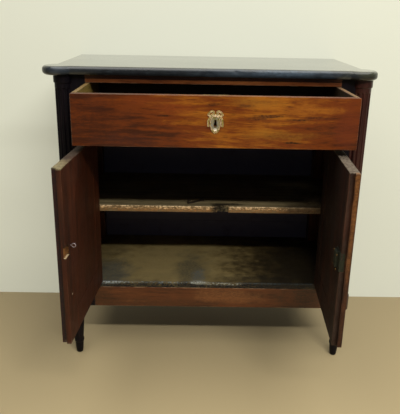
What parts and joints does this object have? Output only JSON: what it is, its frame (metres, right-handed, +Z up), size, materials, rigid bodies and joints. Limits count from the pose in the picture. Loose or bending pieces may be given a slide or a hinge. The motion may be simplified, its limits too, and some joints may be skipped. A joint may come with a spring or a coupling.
{
  "type": "side cabinet",
  "caption": "Side cabinet with a lobed stone top, one drawer over a two-door cupboard with a shelf, fluted corner columns and turned feet; drawer and doors open.",
  "frame": {"origin": "on the floor, under the middle of the bounding box of the cabinet as pictured, drawer pulled out and both doors open", "axes": "X along the width, to the viewer's right; Y from front to back; Z up"},
  "size_m": [0.896, 0.7438, 0.88],
  "materials": {
    "stone_top": "polished near-black stone with faint pale veins, mirror-like from a low angle",
    "front_mahogany": "french-polished mahogany veneer, red-brown with darker streaks along the length",
    "dark_mahogany": "dark french-polished mahogany, near black in the flutes",
    "carcass_mahogany": "polished mahogany, upright grain",
    "door_mahogany": "dark mahogany with upright streaks",
    "carcass_softwood": "bare dusty softwood, worn and stained",
    "drawer_wood": "bare pale oak, dry and a little dirty",
    "gilt_brass": "worn gilding over cast brass",
    "aged_brass": "dull aged brass with green in the hollows",
    "dark_iron": "dark wrought iron, slightly rusty"
  },
  "bodies": {
    "carcass": {"stone_top": "stone_top", "front_post_left": "dark_mahogany", "front_post_right": "dark_mahogany", "front_column_left": "dark_mahogany", "front_column_right": "dark_mahogany", "front_foot_left": "dark_mahogany", "front_foot_right": "dark_mahogany", "rear_foot_left": "dark_mahogany", "rear_foot_right": "dark_mahogany", "rear_post_left": "carcass_mahogany", "rear_post_right": "carcass_mahogany", "side_panel_left": "carcass_mahogany", "side_panel_right": "carcass_mahogany", "top_front_rail": "front_mahogany", "drawer_rail": "front_mahogany", "bottom_front_rail": "front_mahogany", "top_back_rail": "carcass_softwood", "bottom_back_rail": "carcass_softwood", "bottom_board": "carcass_softwood", "shelf": "carcass_softwood", "back_board_upper": "carcass_softwood", "back_board_lower": "carcass_softwood", "drawer_runner_left": "carcass_softwood", "drawer_runner_right": "carcass_softwood", "drawer_guide_left": "carcass_softwood", "drawer_guide_right": "carcass_softwood", "shelf_hook_screw": "dark_iron", "left_lower_hinge_fixed": "aged_brass", "left_upper_hinge_fixed": "aged_brass", "right_lower_hinge_fixed": "aged_brass", "right_upper_hinge_fixed": "aged_brass"},
    "drawer": {"drawer_front": "front_mahogany", "drawer_side_left": "drawer_wood", "drawer_side_right": "drawer_wood", "drawer_back": "drawer_wood", "drawer_bottom": "drawer_wood", "drawer_escutcheon": "gilt_brass", "drawer_lock_case": "aged_brass"},
    "drawer_bolt": {"drawer_lock_bolt": "dark_iron"},
    "left_door": {"left_door_hinge_stile": "door_mahogany", "left_door_meeting_stile": "door_mahogany", "left_door_top_rail": "door_mahogany", "left_door_bottom_rail": "door_mahogany", "left_door_panel": "door_mahogany", "left_door_keeper": "aged_brass", "left_door_ring": "dark_iron", "left_lower_hinge_moving": "aged_brass", "left_upper_hinge_moving": "aged_brass"},
    "right_door": {"right_door_hinge_stile": "door_mahogany", "right_door_meeting_stile": "door_mahogany", "right_door_top_rail": "door_mahogany", "right_door_bottom_rail": "door_mahogany", "right_door_panel": "door_mahogany", "right_door_lock_case": "aged_brass", "right_door_escutcheon": "gilt_brass", "right_lower_hinge_moving": "aged_brass", "right_upper_hinge_moving": "aged_brass"},
    "door_bolt": {"right_door_lock_bolt": "dark_iron"},
    "hook": {"shelf_hook": "dark_iron"}
  },
  "joints": [
    {"name": "drawer_slide", "type": "slide", "parent": "carcass", "child": "drawer", "axis": [0, -1, 0], "range_m": [-0.205, 0.1]},
    {"name": "left_door_hinge", "type": "hinge", "parent": "carcass", "child": "left_door", "pos_m": [-0.33325, -0.02708, 0.253], "axis": [0, 0, 1], "range_deg": [-66.1, 93.9]},
    {"name": "right_door_hinge", "type": "hinge", "parent": "carcass", "child": "right_door", "pos_m": [0.35125, -0.02708, 0.253], "axis": [0, 0, 1], "range_deg": [-86.3, 73.7]},
    {"name": "door_bolt_slide", "type": "slide", "parent": "right_door", "child": "door_bolt", "axis": [-0.0645, -0.9979, 0], "range_m": [0, 0.012]},
    {"name": "drawer_bolt_slide", "type": "slide", "parent": "drawer", "child": "drawer_bolt", "axis": [0, 0, 1], "range_m": [0, 0.008]},
    {"name": "shelf_hook_hinge", "type": "hinge", "parent": "carcass", "child": "hook", "pos_m": [-0.01501, 0.05604, 0.4833], "axis": [0, 0, -1], "range_deg": [-30.3, 60]}
  ]
}
